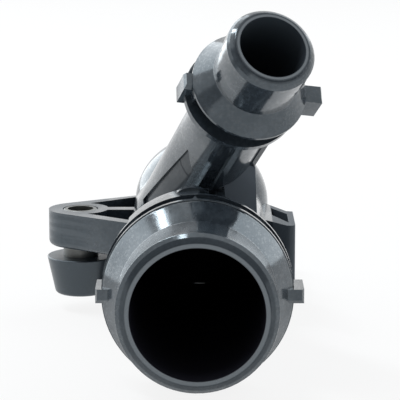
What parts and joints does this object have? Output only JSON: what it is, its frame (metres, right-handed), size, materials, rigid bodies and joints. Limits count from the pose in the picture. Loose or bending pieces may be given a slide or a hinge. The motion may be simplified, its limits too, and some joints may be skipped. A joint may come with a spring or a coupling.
{
  "type": "coolant flange",
  "caption": "Moulded plastic coolant flange with a large level and a small rising hose connector, a port with face seal and bolt eyes with steel sleeves.",
  "frame": {"origin": "centre of the coolant port in the plane of the engine's face", "axes": "+Z away from the engine along the bolts, -Y along the large connector out of its mouth, +X to the right as seen from the large connector"},
  "size_m": [0.0727, 0.1549, 0.0928],
  "materials": {
    "housing_plastic": "satin black glass-filled nylon",
    "spacer_plastic": "fine grained black nylon",
    "sleeve_steel": "dull zinc-plated steel",
    "seal_rubber": "smooth black rubber"
  },
  "bodies": {
    "root": {"housing": "housing_plastic", "ear_spacer": "spacer_plastic", "side_sleeve": "sleeve_steel", "rear_sleeve": "sleeve_steel", "face_seal": "seal_rubber"}
  },
  "joints": []
}
